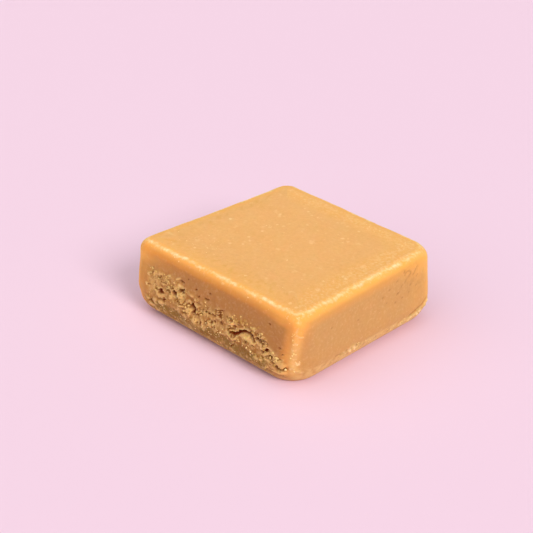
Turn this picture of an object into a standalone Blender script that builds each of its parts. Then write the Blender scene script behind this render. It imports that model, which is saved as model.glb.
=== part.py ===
"""A hand-cut cube of vanilla fudge.

A low square block with soft worn edges. Three of its sides were cut with a knife and are nearly smooth.
The fourth, which faces -Y, was broken from the slab: it is smooth under the upper edge and crumbly below,
with pits and one open crack. The block rests on its flat base, centred on the origin, with +Z up.
"""

import math
from collections import namedtuple

import bmesh
import bpy
from mathutils import Vector, noise

MM = 0.001

# Driving sizes, in millimetres.
HEIGHT = 11.85
TOP_INSET = 2.1  # width of the worn upper edge, seen from above
TOP_DROP = 1.7  # height of the worn upper edge
BASE_LIFT = 4.5  # height over which the sides turn in to the base
BASE_TURN = math.radians(60)  # how far they turn before they meet the base

# The upright corners, anticlockwise seen from above, starting at +X +Y: where the sides would meet at the
# top and at the base, the radius in plan of each, how far the base turns in, and how much the top rises.
Corner = namedtuple("Corner", "top base top_radius base_radius tuck rise")
CORNERS = (
    Corner(top=(16.12, 15.67), base=(17.10, 16.13), top_radius=4.1, base_radius=5.4, tuck=2.5, rise=0.0),
    Corner(top=(-16.90, 16.69), base=(-16.90, 16.80), top_radius=2.7, base_radius=3.6, tuck=2.5, rise=-0.05),
    Corner(top=(-16.66, -16.09), base=(-17.30, -16.92), top_radius=2.3, base_radius=4.0, tuck=2.4, rise=0.04),
    Corner(top=(17.25, -15.54), base=(17.12, -16.18), top_radius=2.5, base_radius=5.6, tuck=2.2, rise=0.14),
)

# Steps of the surface: in half of each rounded corner, along each stretch, and up each side.
CORNER_STEPS = 4
STEPS_ALONG_X = 36
STEPS_ALONG_Y = 14
EDGE_STEPS = 3
STEPS_UP = 11
CORNER_SHARE = 0.2  # share of the half-side that the lattice gives to a corner
EDGE_SHARE = 0.3  # share of the half-height, and of the half-width on top, that it gives to an edge

# Unevenness of the cut faces: how deep it is, and how wide one hollow or swelling is.
CUT_DEPTH = 0.12
CUT_WIDTH = 9.0

# The broken side: the crumbly part reaches this high at its -X end and at its +X end.
CRUMBLE_TOP_LEFT = 9.0
CRUMBLE_TOP_RIGHT = 7.4
CRUMBLE_FADE = 1.2  # height over which the crumbly part fades into the smooth band
CRUMB_SIZE = 2.2  # distance between neighbouring crumbs
CRUMB_DEPTH = 0.75  # how far the clefts between crumbs lie behind their crests

# Pits of the broken side: place along X, height, half-length, half-height, slope in degrees, depth.
Pit = namedtuple("Pit", "x z long high slope depth")
PITS = (
    Pit(x=-5.6, z=7.3, long=0.9, high=0.6, slope=15, depth=0.9),
    Pit(x=-9.8, z=5.6, long=1.1, high=0.8, slope=10, depth=0.8),
    Pit(x=-2.9, z=5.6, long=1.2, high=0.9, slope=-25, depth=0.9),
    Pit(x=-0.3, z=8.0, long=0.8, high=0.5, slope=20, depth=0.5),
    Pit(x=1.0, z=6.2, long=1.0, high=0.4, slope=-8, depth=0.5),
    Pit(x=11.8, z=5.2, long=1.0, high=0.6, slope=30, depth=0.8),
    Pit(x=13.7, z=3.8, long=0.9, high=0.6, slope=-40, depth=0.7),
)

# The open crack arches over a lump: centre and radius of its arc, the angles it runs between, its
# half-width and its depth.
CRACK_X = 7.8
CRACK_Z = 4.2
CRACK_RADIUS = 2.4
CRACK_FROM = math.radians(20)
CRACK_TO = math.radians(160)
CRACK_WIDTH = 0.45
CRACK_DEPTH = 1.1
LUMP_HEIGHT = 0.35
LUMP_SIZE = 1.6

FUDGE_COLOUR = "EBB478"
FUDGE_ROUGHNESS = 0.62


def mix(a, b, share):
    """The value that lies this share of the way from a to b."""
    return a + (b - a) * share


def clamp(value):
    """The value, kept between 0 and 1."""
    return min(max(value, 0.0), 1.0)


def ease(value):
    """A smooth step from 0 to 1."""
    share = clamp(value)
    return share * share * (3 - 2 * share)


def stations(corner_share, corner_steps, middle_steps):
    """Places from -1 to 1 of a lattice that is finer in the two end shares."""
    inner = 1 - corner_share
    ends = [inner + corner_share * i / corner_steps for i in range(corner_steps)]
    middle = [mix(-inner, inner, i / middle_steps) for i in range(1, middle_steps)]
    return sorted([-place for place in ends] + middle + ends)


def lattice():
    """A cube from -1 to 1 that is sliced into a lattice of four-sided faces."""
    mesh = bmesh.new()
    bmesh.ops.create_cube(mesh, size=2)
    cuts = (
        (Vector((1, 0, 0)), stations(CORNER_SHARE, CORNER_STEPS, STEPS_ALONG_X)),
        (Vector((0, 1, 0)), stations(CORNER_SHARE, CORNER_STEPS, STEPS_ALONG_Y)),
        (Vector((0, 0, 1)), stations(EDGE_SHARE, EDGE_STEPS, STEPS_UP)),
    )
    for axis, places in cuts:
        for place in places:
            everything = mesh.verts[:] + mesh.edges[:] + mesh.faces[:]
            bmesh.ops.bisect_plane(mesh, geom=everything, plane_co=axis * place, plane_no=axis, dist=1e-7)
    return mesh


def side_place(x, y):
    """Which side a point on the lattice's outline is on, and how far along it runs, from -1 to 1.

    Side 0 faces +Y, side 1 -X, side 2 -Y and side 3 +X. Each starts at the corner of its own number.
    """
    if y >= abs(x):
        return 0, -x / y
    if -x >= abs(y):
        return 1, y / x
    if -y >= abs(x):
        return 2, -x / y
    return 3, y / x


def corner_point(number, angle, inset, upward):
    """A point on a corner's arc, this far inside the outline. Upward is 0 at the base and 1 at the top."""
    corner = CORNERS[number]
    quarter = math.pi / 2 * number
    out_x = math.copysign(1, math.cos(quarter + math.pi / 4))
    out_y = math.copysign(1, math.sin(quarter + math.pi / 4))
    radius = mix(corner.base_radius, corner.top_radius, upward)
    centre_x = mix(corner.base[0], corner.top[0], upward) - out_x * radius
    centre_y = mix(corner.base[1], corner.top[1], upward) - out_y * radius
    reach = radius - inset
    return Vector((centre_x + reach * math.cos(angle), centre_y + reach * math.sin(angle), 0))


def outline(side, along, inset, upward):
    """A point on the block's outline at one height: half an arc, a straight stretch and half an arc."""
    straight = 1 - CORNER_SHARE
    following = (side + 1) % 4
    normal = math.pi / 2 * (side + 1)
    turn = max(abs(along) - straight, 0) / CORNER_SHARE * math.pi / 4
    if along < -straight:
        return corner_point(side, normal - turn, inset, upward)
    if along > straight:
        return corner_point(following, normal + turn, inset, upward)
    start = corner_point(side, normal, inset, upward)
    end = corner_point(following, normal, inset, upward)
    return start.lerp(end, (along / straight + 1) / 2)


def edge_profile(side, along, turn, upward):
    """How far inside the outline the worn edge lies, and how far from the top or the base.

    Turn is 0 where the edge leaves the side and 1 where it meets the top or the base.
    """
    if upward:
        angle = turn * math.pi / 2
        return TOP_INSET * (1 - math.cos(angle)), TOP_DROP * (1 - math.sin(angle))
    angle = turn * BASE_TURN
    tuck = mix(CORNERS[side].tuck, CORNERS[(side + 1) % 4].tuck, (along + 1) / 2)
    inset = tuck * (1 - math.cos(angle)) / (1 - math.cos(BASE_TURN))
    return inset, BASE_LIFT * (1 - math.sin(angle) / math.sin(BASE_TURN))


def top_height(point):
    """Height of the top above this point: the corners rise or sink a little."""
    across = clamp(point.x / 34 + 0.5)
    deep = clamp(point.y / 34 + 0.5)
    near = mix(CORNERS[2].rise, CORNERS[3].rise, across)
    far = mix(CORNERS[1].rise, CORNERS[0].rise, across)
    return HEIGHT + mix(near, far, deep)


def block_point(lattice_point):
    """Where a point of the lattice lies on the even block, before the faces are made uneven."""
    x, y, z = lattice_point
    reach = max(abs(x), abs(y))
    if reach < 1e-6:
        return Vector((0, 0, HEIGHT if z > 0 else 0))
    side, along = side_place(x / reach, y / reach)
    upward = 1 if z > 0 else 0
    if reach < 1 - EDGE_SHARE:
        inset, _ = edge_profile(side, along, 1, upward)
        point = outline(side, along, inset, upward) * (reach / (1 - EDGE_SHARE))
        point.z = top_height(point) if upward else 0
        return point
    if abs(z) <= 1 - EDGE_SHARE:
        share = (z / (1 - EDGE_SHARE) + 1) / 2
        point = outline(side, along, 0, share)
        point.z = mix(BASE_LIFT, top_height(point) - TOP_DROP, share)
        return point
    if abs(z) > 1 - 1e-6:
        turn = 1 - (reach - 1 + EDGE_SHARE) / EDGE_SHARE / 2
    else:
        turn = (abs(z) - 1 + EDGE_SHARE) / EDGE_SHARE / 2
    inset, drop = edge_profile(side, along, turn, upward)
    point = outline(side, along, inset, upward)
    point.z = top_height(point) - drop if upward else drop
    return point


def pit_depth(x, z):
    """Depth of the deepest pit at this place of the broken side: a bowl with a soft rim."""
    deepest = 0.0
    for pit in PITS:
        slope = math.radians(pit.slope)
        along = (x - pit.x) * math.cos(slope) + (z - pit.z) * math.sin(slope)
        across = (z - pit.z) * math.cos(slope) - (x - pit.x) * math.sin(slope)
        away = math.hypot(along / pit.long, across / pit.high)
        deepest = max(deepest, pit.depth * ease(1.3 - away))
    return deepest


def crack_depth(x, z):
    """Depth of the arched crack, less the lump that stands under its arch."""
    angle = math.atan2(z - CRACK_Z, x - CRACK_X)
    held = min(max(angle, CRACK_FROM), CRACK_TO)
    nearest_x = CRACK_X + CRACK_RADIUS * math.cos(held)
    nearest_z = CRACK_Z + CRACK_RADIUS * math.sin(held)
    away = math.hypot(x - nearest_x, z - nearest_z) / CRACK_WIDTH
    lump = ease(1 - math.hypot(x - CRACK_X, z - CRACK_Z - CRACK_WIDTH) / LUMP_SIZE)
    return CRACK_DEPTH * ease(1.6 - away) - LUMP_HEIGHT * lump


def crumble_depth(point):
    """How deep the broken side lies inside the even block at this point."""
    along = clamp(point.x / 34 + 0.5)
    limit = mix(CRUMBLE_TOP_LEFT, CRUMBLE_TOP_RIGHT, along)
    below = ease((limit - point.z) / CRUMBLE_FADE)
    above_base = ease(point.z / BASE_LIFT)
    from_crest = noise.voronoi(point / CRUMB_SIZE)[0][0]
    hollow = noise.noise(point / (2 * CRUMB_SIZE))
    crumbs = CRUMB_DEPTH * (from_crest + 0.5 * hollow)
    return above_base * (below * crumbs + pit_depth(point.x, point.z) + crack_depth(point.x, point.z))


def uneven(point, normal):
    """The point moved as the knife, the hand and the break left it. The base stays flat."""
    above_base = ease(point.z / BASE_LIFT)
    swell = noise.noise(point / CUT_WIDTH)
    moved = point + normal * (CUT_DEPTH * swell * above_base)
    if normal.y < 0:
        moved -= normal * (crumble_depth(point) * -normal.y * ease(-normal.y))
    return moved


def fudge_material():
    """Boiled sugar, butter and milk, beaten until it grains: pale caramel, and dull."""
    material = bpy.data.materials.new("vanilla fudge")
    material.use_nodes = True
    shader = material.node_tree.nodes["Principled BSDF"]
    channels = [int(FUDGE_COLOUR[i : i + 2], 16) / 255 for i in (0, 2, 4)]
    linear = [((channel + 0.055) / 1.055) ** 2.4 for channel in channels]
    shader.inputs["Base Color"].default_value = (*linear, 1)
    shader.inputs["Roughness"].default_value = FUDGE_ROUGHNESS
    shader.inputs["Metallic"].default_value = 0
    material.diffuse_color = (*linear, 1)
    return material


def centre(mesh):
    """Puts the middle of the mesh's box over the origin."""
    for axis in (0, 1):
        places = [vertex.co[axis] for vertex in mesh.verts]
        middle = (min(places) + max(places)) / 2
        for vertex in mesh.verts:
            vertex.co[axis] -= middle


def fudge(collection):
    """The block as one closed solid: the lattice carried onto the rounded block, then made uneven."""
    mesh = lattice()
    for vertex in mesh.verts:
        vertex.co = block_point(vertex.co)
    mesh.normal_update()
    places = [uneven(vertex.co, vertex.normal) for vertex in mesh.verts]
    for vertex, place in zip(mesh.verts, places):
        vertex.co = place * MM
    centre(mesh)
    data = bpy.data.meshes.new("fudge")
    mesh.to_mesh(data)
    mesh.free()
    data.shade_smooth()
    data.materials.append(fudge_material())
    block = bpy.data.objects.new("fudge", data)
    collection.objects.link(block)
    return block


def main():
    """Clears the scene and builds the one piece."""
    for thing in list(bpy.data.objects):
        bpy.data.objects.remove(thing)
    collection = bpy.data.collections.new("fudge cube")
    bpy.context.scene.collection.children.link(collection)
    fudge(collection)


main()
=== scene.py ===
"""The looks of a hand-cut cube of vanilla fudge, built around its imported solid.

The visible block is one closed surface on a grid: columns run round its rounded outline, rows run up a
profile from the middle of the base to the middle of the top. The cut sides are nearly smooth. The side that
faces -Y was broken from the slab, so it is crumbly, pitted and cracked. Grains of sugar and crumbs that
cling to the block are small joined meshes. Sizes in the classes are in millimetres.
"""

import itertools
import logging
import math
from dataclasses import dataclass, field
from enum import Enum

import bpy
import numpy as np
from mathutils import Matrix, Vector


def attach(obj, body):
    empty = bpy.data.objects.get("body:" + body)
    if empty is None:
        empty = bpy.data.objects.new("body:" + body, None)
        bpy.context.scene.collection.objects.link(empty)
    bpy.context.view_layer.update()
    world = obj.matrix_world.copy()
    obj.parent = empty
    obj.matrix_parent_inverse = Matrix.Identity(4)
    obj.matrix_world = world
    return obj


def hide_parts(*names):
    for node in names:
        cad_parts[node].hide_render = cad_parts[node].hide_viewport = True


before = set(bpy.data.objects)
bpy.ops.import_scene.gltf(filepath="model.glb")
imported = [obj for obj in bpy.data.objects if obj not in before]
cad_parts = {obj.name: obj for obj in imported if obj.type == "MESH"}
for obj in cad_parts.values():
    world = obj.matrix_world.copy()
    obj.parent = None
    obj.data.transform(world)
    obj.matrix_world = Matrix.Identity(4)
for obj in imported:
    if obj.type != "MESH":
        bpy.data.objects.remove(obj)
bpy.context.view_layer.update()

LOG = logging.getLogger("fudge")
MM = 0.001
BODY = "root"
NODE = "fudge"


# ---------------------------------------------------------------------------------------------------------
# Small mathematics on whole arrays
# ---------------------------------------------------------------------------------------------------------


def ease(values: np.ndarray) -> np.ndarray:
    """Smooth step: 3t^2 - 2t^3 of the values held between 0 and 1."""
    held = np.clip(values, 0.0, 1.0)
    return held * held * (3 - 2 * held)


def hill(distances: np.ndarray) -> np.ndarray:
    """Bell curve: e to the power of minus the distance squared."""
    return np.exp(-distances * distances)


def scramble(cells: np.ndarray, seed: int) -> np.ndarray:
    """Random numbers that depend only on whole-number places.

    Each coordinate is multiplied by its own odd number, the products are combined bit by bit, and the
    result is mixed by shifts and products.

    Args:
        cells: Whole-number places, the last axis holding x, y and z.
        seed: Chooses another set of numbers.

    Returns:
        Numbers from 0 to 1, one for each place.
    """
    keys = cells.astype(np.int64).astype(np.uint32)
    mixed = keys[..., 0] * np.uint32(0x9E3779B1)
    mixed = mixed ^ (keys[..., 1] * np.uint32(0x85EBCA6B))
    mixed = mixed ^ (keys[..., 2] * np.uint32(0xC2B2AE35))
    mixed = mixed ^ np.uint32((seed * 0x27D4EB2F) & 0xFFFFFFFF)
    for shift, factor in ((15, 0x2C1B3C6D), (12, 0x297A2D39), (15, 0x85EBCA6B)):
        mixed = (mixed ^ (mixed >> np.uint32(shift))) * np.uint32(factor)
    return (mixed >> np.uint32(8)) / float(1 << 24)


def gradient_noise(points: np.ndarray, size: float, seed: int) -> np.ndarray:
    """Smooth noise: random slopes at the corners of a cubic lattice, blended by a fifth-power fade.

    Args:
        points: Places, the last axis holding x, y and z.
        size: Width of a lattice cell.
        seed: Chooses another noise.

    Returns:
        About -1 to 1 at each place.
    """
    places = points / size
    base = np.floor(places)
    inside = places - base
    fade = inside**3 * (inside * (inside * 6 - 15) + 10)
    total = np.zeros(points.shape[:-1])
    for corner in itertools.product((0, 1), repeat=3):
        offset = np.array(corner)
        slope = np.stack([scramble(base + offset, seed + i) * 2 - 1 for i in range(3)], axis=-1)
        weight = np.where(offset == 1, fade, 1 - fade).prod(axis=-1)
        total += weight * ((inside - offset) * slope).sum(axis=-1)
    return total * 1.6


def rough_noise(points: np.ndarray, size: float, seed: int, octaves: int = 4, gain: float = 0.5) -> np.ndarray:
    """Sum of gradient noises, each half as wide as the one before and weaker by the gain."""
    layers = [gradient_noise(points, size / 2**i, seed + 7 * i) * gain**i for i in range(octaves)]
    return np.sum(layers, axis=0)


@dataclass
class Cells:
    """What cell noise gives at each place: distances to the nearest and second nearest seed, and a number
    from 0 to 1 that is the same all over one cell."""

    nearest: np.ndarray
    second: np.ndarray
    tint: np.ndarray

    @property
    def seam(self) -> np.ndarray:
        """Distance, in cells, from the seam between two cells: second less nearest."""
        return self.second - self.nearest


def cell_noise(points: np.ndarray, size: float, seed: int) -> Cells:
    """Cell noise: each cubic cell holds one seed point at a random place, and a place belongs to the nearest.

    Args:
        points: Places, the last axis holding x, y and z.
        size: Mean distance between neighbouring seed points.
        seed: Chooses another set of seed points.

    Returns:
        The distances, in units of size, and the number of the nearest cell.
    """
    places = points / size
    base = np.floor(places)
    nearest = np.full(points.shape[:-1], 9.0)
    second = nearest.copy()
    tint = np.zeros_like(nearest)
    for step in itertools.product((-1, 0, 1), repeat=3):
        cell = base + np.array(step)
        jitter = np.stack([scramble(cell, seed + i) for i in range(3)], axis=-1)
        away = np.linalg.norm(cell + jitter - places, axis=-1)
        closer = away < nearest
        second = np.where(closer, nearest, np.minimum(second, away))
        tint = np.where(closer, scramble(cell, seed + 3), tint)
        nearest = np.where(closer, away, nearest)
    return Cells(nearest, second, tint)


def smoothed(grid: np.ndarray, reach: int) -> np.ndarray:
    """Mean of each value and its neighbours, up to reach columns (round the outline) and rows away."""
    around = sum(np.roll(grid, step, axis=1) for step in range(-reach, reach + 1)) / (2 * reach + 1)
    padded = np.pad(around, ((reach, reach), (0, 0)), mode="edge")
    rows = len(grid)
    return sum(padded[step : step + rows] for step in range(2 * reach + 1)) / (2 * reach + 1)


# ---------------------------------------------------------------------------------------------------------
# Finishes
# ---------------------------------------------------------------------------------------------------------


def linear(code: str) -> tuple[float, float, float, float]:
    """The linear colour of an sRGB hex code such as "EBB478", with full opacity."""
    parts = [int(code[i : i + 2], 16) / 255 for i in (0, 2, 4)]
    red, green, blue = (c / 12.92 if c <= 0.04045 else ((c + 0.055) / 1.055) ** 2.4 for c in parts)
    return red, green, blue, 1.0


def add_node(
    tree: bpy.types.NodeTree, kind: str, settings: dict | None = None, links: dict | None = None
) -> bpy.types.Node:
    """Adds one node to a tree.

    Args:
        tree: The node tree.
        kind: The node's type, without the prefix ShaderNode.
        settings: Values by name. A name that is a property of the node sets that. Any other sets the input
            socket of that name or number.
        links: Output sockets by the name or number of the input socket that they feed.

    Returns:
        The new node.
    """
    node = tree.nodes.new("ShaderNode" + kind)
    for name, value in (settings or {}).items():
        if isinstance(name, str) and hasattr(node, name):
            setattr(node, name, value)
        else:
            node.inputs[name].default_value = value
    for name, socket in (links or {}).items():
        tree.links.new(socket, node.inputs[name])
    return node


def new_material(name: str) -> tuple[bpy.types.Material, bpy.types.NodeTree, bpy.types.Node]:
    """A new material, its emptied node tree and its output node."""
    material = bpy.data.materials.new(name)
    material.use_nodes = True
    tree = material.node_tree
    tree.nodes.clear()
    return material, tree, add_node(tree, "OutputMaterial")


class Mark(Enum):
    """The named masks that the block's surface carries, each from 0 to 1 at every vertex."""

    BROKEN = "broken_side"  # the side that was broken, not cut
    CRUMBLY = "crumbly"  # the loose part of it
    PALE_BITS_AND_HIGHLIGHT = "pale_bits_and_highlight"  # pale crumbs and crusts, with painted highlight on what stands out and a paler foot painted as floor light
    GAP_SHADE_AND_STREAK = "dark_tone_and_shade"  # painted shade in gaps between crumbs, pores, dimples and between crusts; also faint dark streaks
    PIT_SHADE_AND_SWIRL = "pit_shade"  # painted shade in pits, cracks and dimples; also faint reddish swirls on the +X side
    DENSE = "dense"  # the closely packed strip above the base
    EDGE_GLOW_PAINT = "rim"  # painted glow: light coming through the rounded edges and down the corners, painted into the colour
    GLOW = "glow"  # painted glow: the warmer fringe between such an edge and the side; also rough orange specks near the top edges
    EMBER = "ember"  # painted glow: the deeper orange of that fringe above the broken side
    BLOOM = "sugar_bloom_and_highlight"  # sugar dried out along the edges, with painted highlights on the lip, the corners and crust tops


class Pattern(Enum):
    """The patterns that a coat of colour may follow, each from 0 to 1 all over the block."""

    TOP = "faces up"
    FINE = "fine grain"
    BROAD = "slow change of tone"
    TORN = "torn patches"
    BLOTCH = "dried patches of the skin"
    STRETCH = "stretches with more flecks"
    RAGGED = "ragged outline of the bloom"
    GRAIN = "grain that can be felt"
    DENT = "shallow dents"
    FLECK = "flecks on the skin"
    SPECK = "specks in the dense strip"
    SUGAR_AND_HIGHLIGHT_RAGGED = "bloom with its ragged outline"


@dataclass(frozen=True)
class Coat:
    """A thin coat of one colour over all the coats before it.

    Its cover is its source's value. A span carries that by a smooth step: from its first number to its
    second onto 0 to its third. The cover is multiplied by the value that the coat stays within.
    """

    colour: str
    source: Mark | Pattern
    span: tuple[float, float, float] | None = None
    within: Mark | Pattern | None = None


@dataclass(frozen=True)
class VanillaFudge:
    """Fudge: sugar, butter and milk boiled and beaten until it grains, then cut.

    Fine sugar crystals in fat scatter light just under the surface, so edges glow warm and cut faces look
    dull and even; that glow is also painted into the colour along the edges and corners. The skin on top dries
    paler, and is painted paler still as light from above. Where it breaks, the moist inside shows browner.
    Painted shade darkens gaps, pores, dimples, pits and cracks, and painted highlights lighten what stands out.
    """

    skin: str = "ECAF6C"
    cut: str = "CA995C"
    broken: str = "B47F47"
    torn: str = "B6894A"
    pale_bits_and_highlight: str = "E6BF7A"
    dark_tone_and_shade: str = "8C4914"
    pit_shade: str = "7A2C06"
    dense: str = "8F6F33"
    rim: str = "F9B55C"
    glow: str = "DF9E50"
    ember: str = "DC903E"
    sugar_bloom_and_highlight: str = "FFDFB0"
    fleck: str = "FFD8A0"
    depth: float = 0.3  # mean distance that red light travels inside
    # Each pattern's widest feature in millimetres, and its detail.
    noises: tuple[tuple[Pattern, float, float], ...] = (
        (Pattern.FINE, 0.45, 4.0),
        (Pattern.BROAD, 4.0, 3.0),
        (Pattern.TORN, 1.5, 4.0),
        (Pattern.BLOTCH, 1.7, 4.0),
        (Pattern.STRETCH, 7.0, 2.0),
        (Pattern.RAGGED, 0.4, 4.0),
        (Pattern.GRAIN, 0.22, 3.0),
        (Pattern.DENT, 1.1, 3.0),
    )
    # Specks: the mean gap between the places where one may lie, its radius, and the share left empty.
    specks: tuple[tuple[Pattern, float, float, float], ...] = (
        (Pattern.FLECK, 1.25, 0.34, 0.62),
        (Pattern.SPECK, 0.7, 0.2, 0.6),
    )
    coats: tuple[Coat, ...] = (
        # The top is paler as dried skin, and partly as painted light from above.
        Coat(skin, Pattern.TOP),
        Coat(broken, Mark.BROKEN),
        Coat(torn, Mark.CRUMBLY, (0.0, 1.0, 0.5)),
        Coat(dense, Mark.DENSE),
        Coat(dark_tone_and_shade, Pattern.TORN, (0.50, 0.36, 0.30), Mark.DENSE),
        Coat(pale_bits_and_highlight, Pattern.TORN, (0.52, 0.66, 0.45), Mark.DENSE),
        Coat(dark_tone_and_shade, Pattern.TORN, (0.50, 0.36, 0.42), Mark.CRUMBLY),
        Coat(pale_bits_and_highlight, Pattern.TORN, (0.50, 0.64, 0.50), Mark.CRUMBLY),
        Coat(glow, Pattern.BROAD, (0.42, 0.70, 0.14)),
        Coat(sugar_bloom_and_highlight, Pattern.FINE, (0.50, 0.75, 0.13)),
        Coat(dark_tone_and_shade, Pattern.FINE, (0.50, 0.28, 0.07)),
        # Painted glow: the warm fringe, the light through the edges, and the deeper orange above the broken side.
        Coat(glow, Mark.GLOW),
        Coat(rim, Mark.EDGE_GLOW_PAINT),
        Coat(ember, Mark.EMBER),
        # Painted highlight on what stands out, together with pale crumbs and crusts.
        Coat(pale_bits_and_highlight, Mark.PALE_BITS_AND_HIGHLIGHT),
        Coat(fleck, Pattern.FLECK, (0.0, 1.0, 0.45), Pattern.TOP),
        Coat(fleck, Pattern.BLOTCH, (0.58, 0.74, 0.34), Pattern.TOP),
        Coat(pale_bits_and_highlight, Pattern.SPECK, None, Mark.DENSE),
        # Dried sugar, with painted highlights on the lip, corners and crust tops.
        Coat(sugar_bloom_and_highlight, Pattern.SUGAR_AND_HIGHLIGHT_RAGGED, (0.10, 0.85, 0.85)),
        # Painted shade in gaps, pores and dimples, then in pits and cracks.
        Coat(dark_tone_and_shade, Mark.GAP_SHADE_AND_STREAK),
        Coat(pit_shade, Mark.PIT_SHADE_AND_SWIRL),
    )

    def sources(self, tree: bpy.types.NodeTree) -> dict[Mark | Pattern, bpy.types.NodeSocket]:
        """Adds the masks that the surface carries, and the patterns in the object's own space."""
        step = {"interpolation_type": "SMOOTHSTEP"}
        place = add_node(tree, "TexCoord").outputs["Object"]
        normal = add_node(tree, "NewGeometry").outputs["Normal"]
        upward = add_node(tree, "SeparateXYZ", links={0: normal}).outputs["Z"]
        found = {Pattern.TOP: add_node(tree, "MapRange", {**step, 1: 0.5, 2: 0.97}, {0: upward}).outputs[0]}
        for mark in Mark:
            settings = {"attribute_name": mark.value, "attribute_type": "GEOMETRY"}
            found[mark] = add_node(tree, "Attribute", settings).outputs["Fac"]
        for pattern, width, detail in self.noises:
            settings = {"Scale": 1 / (width * MM), "Detail": detail, "Roughness": 0.6}
            found[pattern] = add_node(tree, "TexNoise", settings, {"Vector": place}).outputs[0]

        scatter = add_node(tree, "TexNoise", {"Scale": 1 / (0.5 * MM)}, {"Vector": place}).outputs["Color"]
        shift = {"operation": "MULTIPLY_ADD", 1: (0.5 * MM,) * 3}
        shifted = add_node(tree, "VectorMath", shift, {0: scatter, 2: place}).outputs[0]
        for pattern, gap, size, empty in self.specks:
            cells = add_node(tree, "TexVoronoi", {"Scale": 1 / (gap * MM)}, {"Vector": shifted})
            drawn = add_node(tree, "SeparateColor", links={0: cells.outputs["Color"]}).outputs[0]
            inside = {**step, 1: 0.6 * size / gap, 2: size / gap, 3: 1.0, 4: 0.0}
            spot = add_node(tree, "MapRange", inside, {0: cells.outputs["Distance"]}).outputs[0]
            kept = add_node(tree, "MapRange", {**step, 1: empty, 2: empty + 0.12}, {0: drawn}).outputs[0]
            found[pattern] = add_node(tree, "Math", {"operation": "MULTIPLY"}, {0: spot, 1: kept}).outputs[0]
        more = add_node(tree, "MapRange", {**step, 1: 0.46, 2: 0.6, 3: 0.15}, {0: found[Pattern.STRETCH]})
        links = {0: found[Pattern.FLECK], 1: more.outputs[0]}
        found[Pattern.FLECK] = add_node(tree, "Math", {"operation": "MULTIPLY"}, links).outputs[0]
        ragged = add_node(tree, "Math", {"operation": "MULTIPLY_ADD", 1: 1.2, 2: -0.6}, {0: found[Pattern.RAGGED]})
        links = {0: found[Mark.BLOOM], 1: ragged.outputs[0]}
        found[Pattern.SUGAR_AND_HIGHLIGHT_RAGGED] = add_node(tree, "Math", {"operation": "ADD"}, links).outputs[0]
        return found

    def build(self) -> bpy.types.Material:
        """Makes the material: the coats in order over the cut colour, and a grain that can be felt."""
        material, tree, output = new_material("vanilla fudge, beaten and knife-cut")
        found = self.sources(tree)
        colour = add_node(tree, "RGB").outputs[0]
        colour.default_value = linear(self.cut)
        for coat in self.coats:
            cover = found[coat.source]
            if coat.span:
                low, high, most = coat.span
                span = {"interpolation_type": "SMOOTHSTEP", 1: low, 2: high, 4: most}
                cover = add_node(tree, "MapRange", span, {0: cover}).outputs[0]
            if coat.within:
                links = {0: cover, 1: found[coat.within]}
                cover = add_node(tree, "Math", {"operation": "MULTIPLY"}, links).outputs[0]
            settings = {"data_type": "RGBA", 7: linear(coat.colour)}
            colour = add_node(tree, "Mix", settings, {0: cover, 6: colour}).outputs[2]

        grain = add_node(tree, "Bump", {"Strength": 0.35, "Distance": 0.05 * MM}, {"Height": found[Pattern.GRAIN]})
        links = {"Height": found[Pattern.DENT], "Normal": grain.outputs[0]}
        dents = add_node(tree, "Bump", {"Strength": 0.5, "Distance": 0.12 * MM}, links)
        shader = add_node(
            tree,
            "BsdfPrincipled",
            {
                "subsurface_method": "RANDOM_WALK",
                "Subsurface Weight": 1.0,
                "Subsurface Radius": (1.0, 0.55, 0.35),
                "Subsurface Scale": self.depth * MM,
                "Roughness": 0.62,
                "IOR": 1.45,
                "Specular IOR Level": 0.14,
            },
            {"Base Color": colour, "Normal": dents.outputs[0]},
        )
        tree.links.new(shader.outputs[0], output.inputs[0])
        return material


@dataclass(frozen=True)
class LooseFudge:
    """Loose bits of the same fudge, torn off small: dull, and paler than the block because they are dry.

    Fudge crumbs take the torn colours. Grains of sugar are almost white, with a faint shine.
    """

    name: str = "vanilla fudge, crumbled"
    pale: str = "EBC87C"
    dark: str = "B8843E"
    roughness: float = 0.65
    patch: float = 1.3  # width of the stretches that are paler or darker

    def build(self) -> bpy.types.Material:
        """Makes the material."""
        material, tree, output = new_material(self.name)
        place = add_node(tree, "TexCoord").outputs["Object"]
        patches = add_node(tree, "TexNoise", {"Scale": 1 / (self.patch * MM), "Detail": 4.0}, {"Vector": place})
        share = add_node(tree, "MapRange", {1: 0.35, 2: 0.62}, {0: patches.outputs[0]}).outputs[0]
        colour = add_node(tree, "Mix", {"data_type": "RGBA"}, {0: share})
        colour.inputs[6].default_value = linear(self.dark)
        colour.inputs[7].default_value = linear(self.pale)
        shader = add_node(
            tree,
            "BsdfPrincipled",
            {"Roughness": self.roughness, "IOR": 1.45, "Specular IOR Level": 0.2},
            {"Base Color": colour.outputs[2]},
        )
        tree.links.new(shader.outputs[0], output.inputs[0])
        return material


@dataclass(frozen=True)
class PaleBoard:
    """A plain painted board, pale and dull, that the block stands on."""

    colour: str = "F2D2E3"

    def build(self) -> bpy.types.Material:
        """Makes the material."""
        material, tree, output = new_material("pale painted board")
        shader = add_node(
            tree,
            "BsdfPrincipled",
            {"Base Color": linear(self.colour), "Roughness": 0.9, "Specular IOR Level": 0.1},
        )
        tree.links.new(shader.outputs[0], output.inputs[0])
        return material


# ---------------------------------------------------------------------------------------------------------
# The even block
# ---------------------------------------------------------------------------------------------------------


@dataclass(frozen=True)
class Corner:
    """An upright corner: where its two sides would meet at the top and at the base, its radius in plan at
    each, how far the base turns in there, and how much the top rises."""

    top: tuple[float, float]
    base: tuple[float, float]
    top_radius: float
    base_radius: float
    tuck: float
    rise: float


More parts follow.
